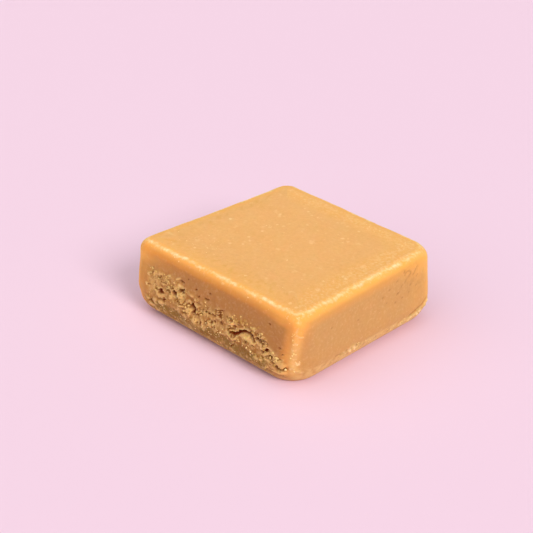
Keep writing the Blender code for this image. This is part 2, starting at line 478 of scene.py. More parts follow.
@dataclass
class Columns:
    """The grid's columns, round the outline from +X, anticlockwise seen from above.

    A column lies on the arc of one corner, or on the straight stretch that leads to the next one.
    """

    corner: np.ndarray  # number of the corner that it is on, or comes from
    onward: np.ndarray  # number of the corner that it leads to
    share: np.ndarray  # how far it is along the straight stretch
    angle: np.ndarray  # direction that the side faces there


@dataclass
class Rows:
    """The grid's rows, up the profile from the middle of the base to the middle of the top."""

    reach: np.ndarray  # 0 in the middle of the base or top, 1 where its flat part ends
    upward: np.ndarray  # 0 at the foot of the straight side, 1 at its head
    base_turn: np.ndarray  # 1 where the side meets the base, 0 where its turning in starts
    top_turn: np.ndarray  # 0 where the upper edge's rounding starts, 1 where it meets the top


@dataclass
class Surface:
    """Places and outward normals of a grid, and the direction that each column faces."""

    points: np.ndarray
    normals: np.ndarray
    facing: np.ndarray
    rows: Rows


@dataclass
class BlockForm:
    """The block before its faces are made uneven: a rounded outline carried up a rounded profile."""

    height: float = 11.85
    top_inset: float = 2.1
    top_drop: float = 1.7
    base_lift: float = 4.5
    base_angle: float = 60.0
    width: float = 34.0
    corners: tuple[Corner, ...] = (
        Corner((16.12, 15.67), (17.10, 16.13), 4.1, 5.4, 2.5, 0.0),
        Corner((-16.90, 16.69), (-16.90, 16.80), 2.7, 3.6, 2.5, -0.05),
        Corner((-16.66, -16.09), (-17.30, -16.92), 2.3, 4.0, 2.4, 0.04),
        Corner((17.25, -15.54), (17.12, -16.18), 2.5, 5.6, 2.2, 0.14),
    )
    arc_steps: tuple[int, ...] = (26, 14, 34, 44)
    side_steps: tuple[int, ...] = (36, 36, 320, 116)
    base_rings: int = 3
    base_steps: int = 40
    side_rows: int = 58
    top_steps: int = 28
    top_rings: int = 18

    def columns(self) -> Columns:
        """Columns of each corner's arc and of the stretch after it, evenly spaced in each."""
        parts = []
        for number in range(4):
            arc = np.arange(self.arc_steps[number]) / self.arc_steps[number]
            stretch = np.arange(self.side_steps[number]) / self.side_steps[number]
            corner = np.full(len(arc) + len(stretch), number)
            onward = np.r_[np.full(len(arc), number), np.full(len(stretch), (number + 1) % 4)]
            share = np.r_[np.zeros(len(arc)), stretch]
            angle = (number + np.r_[arc, np.ones(len(stretch))]) * math.pi / 2
            parts.append((corner, onward, share, angle))
        return Columns(*(np.concatenate(part) for part in zip(*parts)))

    def rows(self) -> Rows:
        """Rows of the base, its rounding, the side, the top's rounding and the top."""
        base = (np.arange(1, self.base_rings + 1) / self.base_rings) ** 0.7
        base_turn = 1 - np.arange(1, self.base_steps + 1) / self.base_steps
        upward = np.arange(1, self.side_rows + 1) / self.side_rows
        top_turn = np.arange(1, self.top_steps + 1) / self.top_steps
        top = 1 - (np.arange(1, self.top_rings) / self.top_rings) ** 1.5
        counts = [len(base), len(base_turn), len(upward), len(top_turn), len(top)]

        def spread(*values: np.ndarray | float) -> np.ndarray:
            return np.concatenate([np.broadcast_to(v, (n,)) for v, n in zip(values, counts)])

        return Rows(
            reach=spread(base, 1.0, 1.0, 1.0, top),
            upward=spread(0.0, 0.0, upward, 1.0, 1.0),
            base_turn=spread(1.0, base_turn, 0.0, 0.0, 0.0),
            top_turn=spread(0.0, 0.0, 0.0, top_turn, 1.0),
        )

    def surface(self) -> Surface:
        """The even block as a function of column and row.

        A column's point is its corner's centre plus the radius, less the inset, in the column's direction;
        on a straight stretch it is the blend of both corners' points. Over an edge's rounding, an ellipse,
        the inset grows as one less the cosine of the turn, and the height follows the sine.
        """
        columns, rows = self.columns(), self.rows()
        top = np.array([c.top for c in self.corners])
        base = np.array([c.base for c in self.corners])
        top_radius = np.array([c.top_radius for c in self.corners])
        base_radius = np.array([c.base_radius for c in self.corners])
        tucks = np.array([c.tuck for c in self.corners])
        rises = [c.rise for c in self.corners]
        facing = np.stack([np.cos(columns.angle), np.sin(columns.angle)], axis=-1)
        tuck = tucks[columns.corner] * (1 - columns.share) + tucks[columns.onward] * columns.share
        most = math.radians(self.base_angle)
        under = rows.base_turn[:, None] * most
        over = rows.top_turn[:, None] * math.pi / 2
        base_width = tuck / (1 - math.cos(most))
        inset = base_width * (1 - np.cos(under)) + self.top_inset * (1 - np.cos(over))
        upward = rows.upward[:, None]

        def on_corner(number: np.ndarray) -> np.ndarray:
            meeting = base[number] * (1 - upward[..., None]) + top[number] * upward[..., None]
            radius = base_radius[number] * (1 - upward) + top_radius[number] * upward
            centre = meeting - np.sign(meeting) * radius[..., None]
            return centre + (radius - inset)[..., None] * facing

        share = columns.share[:, None]
        plan = on_corner(columns.corner) * (1 - share) + on_corner(columns.onward) * share
        plan = plan * rows.reach[:, None, None]

        across, deep = np.moveaxis(np.clip(plan / self.width + 0.5, 0, 1), -1, 0)
        near = rises[2] * (1 - across) + rises[3] * across
        far = rises[1] * (1 - across) + rises[0] * across
        head = self.height + near * (1 - deep) + far * deep - self.top_drop
        base_height = self.base_lift / math.sin(most)
        z = self.base_lift * (1 - upward) + head * upward
        z = z - base_height * np.sin(under) + self.top_drop * np.sin(over)

        out = np.where(under > 0, base_height * np.cos(under), self.top_drop * np.cos(over))
        up = np.where(under > 0, -base_width * np.sin(under), self.top_inset * np.sin(over))
        length = np.hypot(out, up)
        out, up = out / length, up / length
        normals = np.stack([out * facing[:, 0], out * facing[:, 1], up * np.ones_like(z)], axis=-1)
        normals[: self.base_rings] = (0.0, 0.0, -1.0)
        return Surface(np.concatenate([plan, z[..., None]], axis=-1), normals, facing, rows)


# ---------------------------------------------------------------------------------------------------------
# How the knife, the hand and the break changed it
# ---------------------------------------------------------------------------------------------------------


@dataclass
class Relief:
    """What a maker's act does to the surface: how far each vertex moves out along its normal, how far it
    moves up, and the masks that it leaves."""

    out: np.ndarray
    up: np.ndarray
    marks: dict[Mark, np.ndarray] = field(default_factory=dict)


@dataclass(frozen=True)
class Blot:
    """An oval place on a side: its middle along the side and in height, half-length, half-height, slope
    in degrees and depth. A negative depth stands out."""

    along: float
    z: float
    long: float
    high: float
    slope: float = 0.0
    depth: float = 0.1

    def reach(self, along: np.ndarray, z: np.ndarray) -> np.ndarray:
        """1 in the middle, one half at the outline, 0 half as far again."""
        slope = math.radians(self.slope)
        run, rise = along - self.along, z - self.z
        lengthwise = (run * math.cos(slope) + rise * math.sin(slope)) / self.long
        crosswise = (rise * math.cos(slope) - run * math.sin(slope)) / self.high
        return ease(1.5 - np.hypot(lengthwise, crosswise))


@dataclass(frozen=True)
class Crack:
    """A crack in a side: the points it runs through, its half-width and its depth."""

    route: tuple[tuple[float, float], ...]
    width: float
    depth: float

    def reach(self, along: np.ndarray, z: np.ndarray) -> np.ndarray:
        """1 on the line, one half at the half-width, 0 half as far again."""
        nearest = np.full(along.shape, np.inf)
        for start, end in zip(self.route, self.route[1:]):
            run = np.array(end) - np.array(start)
            share = np.clip(((along - start[0]) * run[0] + (z - start[1]) * run[1]) / (run @ run), 0, 1)
            away = np.hypot(along - start[0] - share * run[0], z - start[1] - share * run[1])
            nearest = np.minimum(nearest, away)
        return ease(1.5 - nearest / self.width)


def sunken(shapes: tuple, along: np.ndarray, z: np.ndarray) -> tuple[np.ndarray, np.ndarray]:
    """Depth of all the blots and cracks together, and how far each place lies inside one."""
    depth, inside = np.zeros_like(z), np.zeros_like(z)
    for shape in shapes:
        reach = shape.reach(along, z)
        depth = np.where(abs(shape.depth) * reach > abs(depth), shape.depth * reach, depth)
        inside = np.maximum(inside, reach)
    return depth, inside


@dataclass
class BrokenSide:
    """The side that was broken from the slab, facing -Y."""

    pits: tuple[Blot | Crack, ...] = (
        Blot(-5.6, 8.7, 0.48, 0.15, 8, 0.45),
        Blot(-5.6, 7.3, 0.53, 0.27, 10, 0.8),
        Blot(-6.8, 6.5, 0.34, 0.38, 30, 0.6),
        Blot(-0.3, 8.0, 0.43, 0.17, 12, 0.55),
        Blot(-1.9, 7.9, 0.28, 0.12, 15, 0.35),
        Blot(0.45, 9.2, 0.24, 0.12, 0, 0.35),
        Blot(-2.6, 8.7, 0.24, 0.14, 10, 0.3),
        Blot(-4.3, 9.6, 0.20, 0.10, 0, 0.25),
        Blot(-9.8, 5.6, 0.58, 0.38, 10, 0.7),
        Blot(-9.2, 4.5, 0.38, 0.20, 0, 0.45),
        Blot(-3.0, 5.8, 0.62, 0.42, -20, 0.85),
        Blot(-2.6, 5.0, 0.52, 0.36, -35, 0.7),
        Blot(-4.5, 4.4, 0.58, 0.17, 5, 0.5),
        Blot(-6.5, 3.6, 0.20, 0.20, 0, 0.35),
        Blot(2.0, 6.55, 0.24, 0.10, 0, 0.3),
        Blot(1.6, 5.3, 0.22, 0.16, 10, 0.35),
        Blot(2.85, 5.6, 0.20, 0.20, 30, 0.4),
        Blot(4.2, 7.1, 0.26, 0.12, 20, 0.35),
        Blot(10.4, 7.0, 0.30, 0.12, -10, 0.45),
        Blot(11.2, 6.3, 0.38, 0.12, -20, 0.45),
        Blot(10.1, 6.5, 0.22, 0.14, 0, 0.4),
        Blot(11.8, 5.2, 0.58, 0.25, 35, 0.65),
        Blot(11.3, 4.8, 0.28, 0.20, 20, 0.5),
        Blot(12.6, 4.6, 0.32, 0.18, 20, 0.45),
        Blot(14.1, 6.4, 0.14, 0.09, 0, 0.25),
        Blot(12.1, 9.2, 0.20, 0.10, 0, 0.25),
        Blot(14.4, 5.5, 0.18, 0.11, 10, 0.3),
        Blot(-11.8, 3.2, 0.58, 0.25, -15, 0.55),
        Blot(-12.05, 8.1, 0.20, 0.12, 0, 0.35),
        Blot(-11.95, 8.7, 0.20, 0.10, 0, 0.3),
        Blot(4.9, 2.8, 0.24, 0.16, 0, 0.3),
        Crack(((0.25, 6.15), (1.0, 6.25), (1.8, 6.2)), 0.09, 0.4),
        Crack(((1.6, 7.3), (2.5, 7.45), (3.3, 7.7)), 0.08, 0.35),
        Crack(((4.8, 5.0), (5.6, 5.1), (6.35, 5.4), (6.6, 5.8), (7.35, 6.2), (8.05, 6.45), (8.6, 6.4)), 0.20, 0.60),
        Crack(((8.6, 6.4), (9.05, 6.0), (9.5, 5.7)), 0.27, 0.80),
        Crack(((9.85, 6.25), (10.5, 6.0), (11.2, 5.9)), 0.14, 0.50),
        Crack(((13.0, 3.7), (13.35, 3.25), (13.7, 2.9)), 0.22, 0.60),
        Crack(((13.7, 2.9), (14.3, 3.0), (14.8, 3.3)), 0.12, 0.40),
    )
    lumps: tuple[Blot, ...] = (
        Blot(7.75, 5.6, 0.85, 0.30, -4, -0.30),
        Blot(5.4, 4.7, 0.70, 0.42, 15, -0.32),
        Blot(4.9, 6.7, 0.55, 0.34, 10, -0.28),
        Blot(-5.1, 5.5, 0.75, 0.45, 20, -0.34),
        Blot(-9.7, 4.0, 0.55, 0.35, 0, -0.28),
        Blot(-10.9, 4.0, 0.45, 0.35, 0, -0.28),
        Blot(-5.7, 6.5, 0.50, 0.34, 15, -0.28),
        Blot(-2.0, 4.1, 0.60, 0.40, 25, -0.28),
    )
    flakes: tuple[Blot, ...] = (
        Blot(7.0, 7.3, 0.25, 0.15, 0, -0.12),
        Blot(9.3, 7.5, 0.42, 0.24, 20, -0.18),
        Blot(10.7, 7.0, 0.42, 0.28, -10, -0.18),
        Blot(4.8, 5.7, 0.52, 0.22, -15, -0.18),
        Blot(11.0, 5.3, 0.28, 0.20, 0, -0.14),
        Blot(11.0, 3.6, 0.30, 0.22, 0, -0.14),
        Blot(13.2, 3.6, 0.26, 0.20, 0, -0.12),
        Blot(11.9, 2.8, 0.25, 0.18, 0, -0.12),
        Blot(13.6, 2.4, 0.80, 0.20, 4, -0.18),
        Blot(-12.5, 7.5, 0.38, 0.20, 20, -0.16),
        Blot(-11.5, 8.0, 0.30, 0.18, 20, -0.14),
        Blot(-8.4, 8.7, 0.42, 0.16, 20, -0.14),
        Blot(-13.0, 5.9, 0.30, 0.20, 0, -0.14),
        Blot(-11.1, 6.3, 0.32, 0.20, 10, -0.14),
        Blot(-6.4, 8.9, 0.42, 0.18, 25, -0.16),
        Blot(-5.9, 8.1, 0.36, 0.18, 0, -0.16),
        Blot(-7.6, 5.6, 0.36, 0.28, 10, -0.16),
        Blot(-11.2, 3.5, 0.62, 0.22, -20, -0.18),
        Blot(-10.9, 2.2, 0.50, 0.20, -10, -0.16),
        Blot(-2.1, 5.2, 0.52, 0.24, 20, -0.16),
        Blot(-5.1, 5.3, 0.50, 0.24, 20, -0.16),
    )
    head_x: tuple[float, ...] = (-13.6, -12.3, -8.0, -4.7, -3.8, 0.0, 4.7, 7.5, 11.2, 12.5, 14.0, 15.6)
    head_z: tuple[float, ...] = (7.6, 9.2, 9.3, 9.1, 8.5, 8.3, 8.2, 8.2, 7.8, 6.4, 5.4, 5.0)
    loose_x: tuple[float, ...] = (-13.6, -12.6, -6.0, -3.6, 0.0, 4.2, 5.5, 12.0, 15.0)
    loose_share: tuple[float, ...] = (0.75, 1.0, 0.85, 0.60, 0.42, 0.45, 0.65, 0.70, 0.80)
    ends: tuple[float, float] = (-13.3, 15.4)
    dense_height: float = 4.3
    lean: float = 20.0
    stretch: float = 1.5
    pore: float = 0.66
    fine_crumb: float = 0.36
    lump: float = 1.7

    def relief(self, form: BlockForm, even: Surface) -> Relief:
        """Depth of pores, pits and cracks and height of flakes and crumbs at each vertex, with masks of painted
        shade in the hollows and painted highlight on what stands out.

        Pores are the peaks of fractal noise above a threshold, which falls as the place gets looser, so they
        thin out toward the smooth band above. The noise is stretched along a leaning line. Flakes end at the
        zero line of a second noise.
        """
        points = even.points
        x, y, z = np.moveaxis(points, -1, 0)
        toward = np.clip(-even.facing[:, 1], 0, 1)
        side = ease((toward - 0.55) / 0.35)[None, :] * np.ones_like(x)
        within = ease((x - self.ends[0]) / 0.9) * ease((self.ends[1] - x) / 1.2) * side
        foot = ease((z - 0.3) / 2.2)

        lean = math.radians(self.lean)
        leaning = np.stack(
            [(x * math.cos(lean) + z * math.sin(lean)) / self.stretch, y, z * math.cos(lean) - x * math.sin(lean)],
            axis=-1,
        )
        bent = leaning + 0.2 * np.stack([rough_noise(points, 1.1, 11 + i, 3) for i in range(3)], axis=-1)
        head = np.interp(x, self.head_x, self.head_z) + 0.5 * rough_noise(points, 1.8, 31, 3)
        share = np.interp(x, self.loose_x, self.loose_share) + 0.36 * rough_noise(points, 2.3, 33, 3)
        low = ease((self.dense_height - z + 0.7 * rough_noise(points, 2.0, 37, 3)) / 0.9) * side
        low = low * ease((x - self.ends[0] + 0.6) / 0.8) * ease((12.6 - x) / 1.2)
        zone = ease((head - z) / 1.3) * within
        loose = zone * ease((share + 0.15) / 0.75) * (1 - 0.55 * low)

        grain = rough_noise(bent, self.pore, 101, 4, 0.62)
        calm = ease(1.5 - np.hypot((x - 7.8) / 2.3, (z - 5.9) / 1.0))
        open_share = loose * (1 - 0.75 * calm)
        pore = ease((grain - 0.90 + 0.60 * open_share) / 0.28) * ease(3 * open_share)
        rim = ease((grain - 0.60 + 0.60 * open_share) / 0.30) * (1 - pore) * ease(3 * open_share)
        fine = cell_noise(bent * (1.2, 1, 1), self.fine_crumb, 131)
        lumps = cell_noise(bent * (1, 1, 0.9), self.lump, 151)
        fine_out = 0.08 * np.clip(1 - (fine.nearest / 0.7) ** 2, 0, 1) * fine.tint
        lump_out = (0.30 * lumps.tint - 0.10) * np.clip(1 - (lumps.nearest / 0.8) ** 2, 0, 1)
        torn = 0.15 * gradient_noise(points, 4.0, 41) + 0.07 * rough_noise(points, 1.5, 43, 3)
        flake = gradient_noise(bent, 1.25, 91) + 0.3 * gradient_noise(bent, 0.5, 95)
        flaky = loose * ease(0.5 + 1.6 * gradient_noise(points, 2.2, 97))
        gash = hill((flake + 0.07) / 0.08) * flaky
        streak = gradient_noise(points * (1, 1, 0.16), 0.75, 47)

        wobble_x = x + 0.22 * rough_noise(points, 0.7, 61, 3)
        wobble_z = z + 0.15 * rough_noise(points, 0.7, 67, 3)
        sunk, inside = sunken(self.pits, wobble_x, wobble_z)
        raised, swollen = sunken(self.lumps, wobble_x, wobble_z)
        lifted, flaked = sunken(self.flakes, wobble_x, wobble_z)
        out = torn * ease((head + 2.2 - z) / 1.5) + 0.02 * streak * (1 - loose)
        out += loose * (fine_out + lump_out) + low * (0.9 * fine_out + 0.9 * lump_out)
        out += low * 0.10 * rough_noise(points * (1, 1, 0.6), 1.2, 107, 3)
        out += 0.07 * rim - 0.36 * pore + 0.13 * flaky * ease(flake / 0.14) - 0.10 * gash
        out = (out - raised - lifted - sunk) * side * foot
        proud = out - smoothed(out, 6)
        stands = np.maximum(ease(2 * loose), 0.4 * low)
        marks = {
            Mark.BROKEN: side * ease((form.height - 0.3 - z) / 1.1),
            Mark.CRUMBLY: zone * (1 - inside) * (1 - low) * ease((z - 2.4) / 0.8),
            # Painted highlight on crumbs, lumps and flakes that stand out, and a paler foot painted as floor light
            # where the base turns under.
            Mark.PALE_BITS_AND_HIGHLIGHT: np.maximum.reduce(
                [0.65 * ease((proud - 0.02) / 0.13) * stands, 0.45 * swollen * (1 - inside), 0.8 * flaked * (1 - inside)]
            )
            * (1 - pore)
            * foot
            * side
            + 0.30 * side * ease((1.9 - z) / 0.8),
            # Painted shade in pores and gashes; the streaks are a faint dark tone.
            Mark.GAP_SHADE_AND_STREAK: np.clip(0.75 * pore + 0.42 * gash, 0, 0.85) * foot
            + (0.16 + 0.18 * low) * ease(streak * 1.4) * side * (1 - loose) * ease((form.height - 2.4 - z) / 0.8),
            # Painted shade in pits and cracks.
            Mark.PIT_SHADE_AND_SWIRL: ease(inside * 1.3 - 0.15) * side * foot,
            Mark.DENSE: low,
        }
        return Relief(out, 0.3 * sunk * side * foot, marks)


@dataclass
class CutFaces:
    """The faces that the knife cut and the hand rounded."""

    dimples: tuple[Blot | Crack, ...] = (
        Blot(2.1, 8.4, 0.17, 0.17, 0, 0.22),
        Blot(5.5, 7.9, 0.26, 0.13, 20, 0.12),
        Blot(4.9, 6.7, 0.22, 0.12, 0, 0.10),
        Blot(5.5, 9.85, 0.22, 0.12, 30, 0.10),
        Blot(7.3, 10.6, 0.24, 0.14, 20, 0.10),
        Blot(3.6, 9.1, 0.16, 0.12, 0, 0.08),
        Blot(3.0, 7.3, 0.18, 0.10, 10, 0.08),
        Blot(6.6, 6.9, 0.20, 0.12, 0, 0.08),
        Blot(6.4, 8.7, 0.30, 0.10, 35, 0.10),
        Blot(7.4, 9.2, 0.34, 0.12, 40, 0.11),
        Blot(8.6, 8.2, 0.24, 0.12, 20, 0.10),
        Blot(8.1, 7.2, 0.20, 0.10, 10, 0.08),
        Blot(9.9, 7.7, 0.26, 0.10, 30, 0.08),
        Blot(10.2, 9.0, 0.30, 0.10, 40, 0.10),
        Blot(-3.3, 7.2, 0.20, 0.10, 0, 0.06),
        Blot(-9.0, 8.3, 0.18, 0.10, 0, 0.05),
        Crack(((7.3, 10.1), (7.8, 10.5), (8.5, 10.4), (8.8, 9.9), (8.3, 9.6)), 0.11, 0.10),
        Crack(((9.3, 9.4), (9.9, 9.9), (10.4, 10.4)), 0.10, 0.10),
        Crack(((8.4, 3.15), (9.6, 3.55), (11.0, 4.0), (12.2, 4.6)), 0.15, 0.16),
        Crack(((-7.6, 3.1), (-5.6, 3.0), (-4.0, 3.3), (-2.4, 2.9)), 0.10, 0.10),
    )
    crusts: tuple[Blot, ...] = (
        Blot(-6.2, 2.75, 0.62, 0.40, 0, -0.20),
        Blot(-4.4, 2.95, 0.85, 0.46, 10, -0.24),
        Blot(-3.0, 2.65, 0.72, 0.36, 0, -0.20),
        Blot(6.6, 2.5, 0.80, 0.36, 10, -0.20),
        Blot(8.2, 2.65, 0.90, 0.30, 20, -0.16),
        Blot(10.4, 3.1, 1.20, 0.32, 22, -0.18),
        Blot(12.3, 3.9, 0.90, 0.34, 30, -0.16),
        Blot(-16.0, 4.9, 0.50, 0.24, -45, -0.14),
        Blot(-15.0, 3.9, 0.80, 0.24, -42, -0.12),
        Blot(-13.8, 2.8, 0.60, 0.22, -35, -0.10),
    )
    swell: float = 0.11
    swell_width: float = 9.0
    lip: float = 0.085
    lip_turn: float = 62.0
    lip_width: float = 11.5
    beads: tuple[Blot, ...] = (
        Blot(-0.30, 9.10, 0.22, 0.20, 0, -0.10),
        Blot(0.42, 8.85, 0.34, 0.20, -15, -0.12),
        Blot(-0.10, 7.75, 0.34, 0.15, 10, -0.10),
        Blot(0.26, 7.25, 0.16, 0.12, 0, -0.08),
        Blot(-0.24, 6.45, 0.24, 0.24, 0, -0.12),
        Blot(0.40, 5.75, 0.14, 0.18, 0, -0.08),
        Blot(0.00, 5.00, 0.30, 0.15, 15, -0.10),
        Blot(0.55, 4.20, 0.42, 0.30, 0, -0.14),
        Blot(-0.35, 3.35, 0.40, 0.16, -10, -0.10),
    )
    glow_widths: tuple[float, ...] = (2.4, 1.7, 1.75, 0.72)

    def from_corner(self, form: BlockForm, even: Surface, number: int) -> np.ndarray:
        """Distance along an upright corner's arc from its middle, positive toward the next side.

        Beyond the arc it grows with the distance from where the two sides would meet.
        """
        columns, corner = form.columns(), form.corners[number]
        turn = (columns.angle - (number + 0.5) * math.pi / 2 + math.pi) % (2 * math.pi) - math.pi
        radius = corner.base_radius * (1 - even.rows.upward) + corner.top_radius * even.rows.upward
        on_arc = (columns.corner == columns.onward) & (columns.corner == number)
        beyond = np.linalg.norm(even.points[..., :2] - np.array(corner.base), axis=-1)
        past = np.maximum(radius[:, None] * math.pi / 4, beyond * 0.6) * np.sign(turn)
        return np.where(on_arc[None, :], radius[:, None] * turn[None, :], past)

    def corner_glow(self, form: BlockForm, even: Surface, widen: float) -> np.ndarray:
        """1 along the middle of each upright corner, falling off along the arc as a bell curve."""
        flare = widen * (1 + 0.7 * ease((even.points[..., 2] - 8.2) / 2.5))
        glows = [hill(self.from_corner(form, even, n) / (w * flare)) for n, w in enumerate(self.glow_widths)]
        return np.maximum.reduce(glows)

    def relief(self, form: BlockForm, even: Surface) -> Relief:
        """Unevenness of the faces, dimples, crusts along the base, and the raised dry lip along the edges; and masks
        of painted glow along the edges and corners, painted highlights on the lip, corners and crust tops, and
        painted shade in dimples and between crusts.
        """
        points = even.points
        x, y, z = np.moveaxis(points, -1, 0)
        above = ease(z / form.base_lift)
        foot = ease((z - 0.1) / 0.9)
        right = ease((even.facing[:, 0] - 0.55) / 0.35)[None, :] * np.ones_like(z)
        broken = ease((-even.facing[:, 1] - 0.55) / 0.35)[None, :] * np.ones_like(z)
        turn = even.rows.top_turn[:, None] * 90.0
        inward = (1 - even.rows.reach)[:, None] * 14.0
        flat = even.rows.top_turn[:, None] >= 1
        along = np.where(flat, 90 + inward * 30.0, turn) * np.ones_like(z)

        out = self.swell * gradient_noise(points, self.swell_width, 5) * above
        out += 0.022 * rough_noise(points, 2.4, 7, 3) * above
        wobble_y = y + 0.13 * rough_noise(points, 0.6, 71, 2)
        wobble_z = z + 0.11 * rough_noise(points, 0.6, 73, 2)
        sunk, inside = sunken(self.dimples, wobble_y, wobble_z)
        raised, crust = sunken(self.crusts, wobble_y, wobble_z)
        rugged = cell_noise(points * (1, 1, 1.2), 0.5, 191)
        out -= 0.6 * sunk * right * foot
        out += crust * right * foot * (0.06 + 0.42 * rugged.tint * np.clip(1 - rugged.nearest**2, 0, 1))

        # Painted highlight on the tops of the crust knobs.
        knob = crust * right * ease(1.5 - 1.8 * rugged.nearest) * ease((rugged.tint - 0.3) / 0.2)

        worn = 0.66 + 0.40 * rough_noise(points, 1.7, 41, 4)
        line = hill((along - self.lip_turn + 6 * rough_noise(points, 2.6, 43, 3)) / self.lip_width)
        lip = line * np.clip(worn, 0.3, 1.2)
        near = np.maximum(right, broken)
        inner = 1 - 0.66 * ease((along - self.lip_turn) / 28) - 0.34 * ease((along - 90) / (20 + 75 * near))
        offset = self.from_corner(form, even, 3)
        close = hill((offset + 1.5) / 2.4) * (x > 0)
        # Painted glow where light comes through the rounded top edges.
        band = ease((along - 13 - 9 * broken + 20 * close) / 36) * inner * (1 - 0.10 * broken)
        below = np.maximum(form.height - form.top_drop - z, 0)
        higher = ease((z - 9.6) / 1.0)
        # Painted glow beside the front corner.
        beside = hill((offset + 1.0 + 0.8 * higher) / (0.75 + 0.9 * higher)) * (0.36 + 0.16 * higher)
        beside = beside * ease((z - 1.6) / 1.0) * (1 - ease((along - 20) / 40)) * (x > 0)
        # Painted glow: the deeper orange fringe above the broken side.
        ember = 0.62 * hill((along - 30 * below - 27) / 22) * broken * (1 - 0.75 * hill(offset / 2.6) * (x > 0))
        # Painted glow: the warmer fringe under the upper edges.
        fringe = ease((z - 9.4) / 1.5) * inner
        flaking = ease((along - 88) / 10) * ease((215 - along) / 90) * ease(1.6 * rough_noise(points, 0.8, 79, 3))
        away = ease((-even.facing[:, 0] - 0.55) / 0.35)[None, :]
        # Painted glow and highlight along the top's margin above the lit sides.
        margin = ease((along - 80) / 15) * ease((215 - along) / 90) * (1 - broken) * (1 - away)
        front = (x > 10) & (y < -10)
        body = ease((z - 0.9) / 2.0) * inner * (1 - 0.5 * front * ease((9.0 - z) / 3.5))
        _, bead = sunken(self.beads, offset + 0.1 * rough_noise(points, 0.5, 85, 2), wobble_z)
        bead = bead * (np.abs(offset) < 2) * front * np.clip(0.8 + 0.9 * rough_noise(points, 0.45, 89, 2), 0, 1)
        mottled = ease(1.3 - np.hypot((y - 9.2) / 4.0, (z - 8.8) / 2.9)) * right
        mottle = mottled * ease((rough_noise(points, 0.9, 83, 3) - 0.05) / 0.45)
        out += self.lip * lip + 0.12 * bead * (1.2 - rugged.nearest) - 0.03 * mottle
        # Painted glow down the upright corners (upright, wide), and a painted highlight along their middle (edge).
        upright = self.corner_glow(form, even, 1.0) * body
        wide = self.corner_glow(form, even, 1.5) * body
        edge = self.corner_glow(form, even, 0.5) * body
        # Painted highlight down the lower front corner, with its pale crust.
        pale_edge_and_highlight = self.corner_glow(form, even, 0.85) * front * ease((9.5 - z) / 2.5) * ease((z - 0.9) / 2.0)
        foot_crust = 0.6 * ease((3.3 - z) / 0.5) * (1 - broken) * ease(0.75 + rough_noise(points, 1.1, 75, 3))
        marks = {
            Mark.EDGE_GLOW_PAINT: np.maximum.reduce([band, upright, 1.1 * beside, 0.4 * margin]),
            Mark.GLOW: np.maximum.reduce([0.66 * (1 - broken) * fringe, 0.55 * wide, 0.6 * flaking]),
            Mark.EMBER: np.maximum(ember, 0.6 * beside),
            # Painted shade in dimples, and faint reddish swirls.
            Mark.PIT_SHADE_AND_SWIRL: np.maximum(0.20 * inside, 0.09 * mottle) * right * foot,
            # Dried sugar on the lip, with painted highlights on the lip, the lit right face's rounding, crust knobs,
            # corners and beads.
            Mark.BLOOM: np.maximum.reduce(
                [0.72 * lip, hill((along - 68) / 22) * (0.08 + 0.26 * right), 0.8 * knob, 0.22 * margin, (0.15 + 0.1 * (y < 0)) * edge, 0.45 * bead]
            )
            * foot,
            # Painted shade in dimples and between crust knobs.
            Mark.GAP_SHADE_AND_STREAK: np.maximum.reduce(
                [0.14 * inside * right, 0.5 * crust * right * ease(1.6 * rugged.nearest - 0.7)]
            )
            * foot,
            # Pale crusts and beads, and the painted highlight down the lower front corner.
            Mark.PALE_BITS_AND_HIGHLIGHT: np.maximum.reduce(
                [crust * right, foot_crust, 0.62 * pale_edge_and_highlight, 0.8 * bead]
            )
            * foot,
        }
        return Relief(out, np.zeros_like(z), marks)


# ---------------------------------------------------------------------------------------------------------
# Pieces
# ---------------------------------------------------------------------------------------------------------


def mesh_object(name: str, points: np.ndarray, faces: list, material: bpy.types.Material) -> bpy.types.Object:
    """A smooth-shaded object at the origin, its points in millimetres carried into metres."""
    data = bpy.data.meshes.new(name)
    data.from_pydata(points.reshape(-1, 3) * MM, [], faces)
    data.shade_smooth()
    data.materials.append(material)
    piece = bpy.data.objects.new(name, data)
    bpy.context.scene.collection.objects.link(piece)
    return piece


def mark_surface(piece: bpy.types.Object, marks: dict[Mark, np.ndarray]) -> None:
    """Writes each mask to the piece's vertices under its name."""
    for mark, values in marks.items():
        layer = piece.data.attributes.new(mark.value, "FLOAT", "POINT")
        layer.data.foreach_set("value", values.astype(np.float32).ravel())


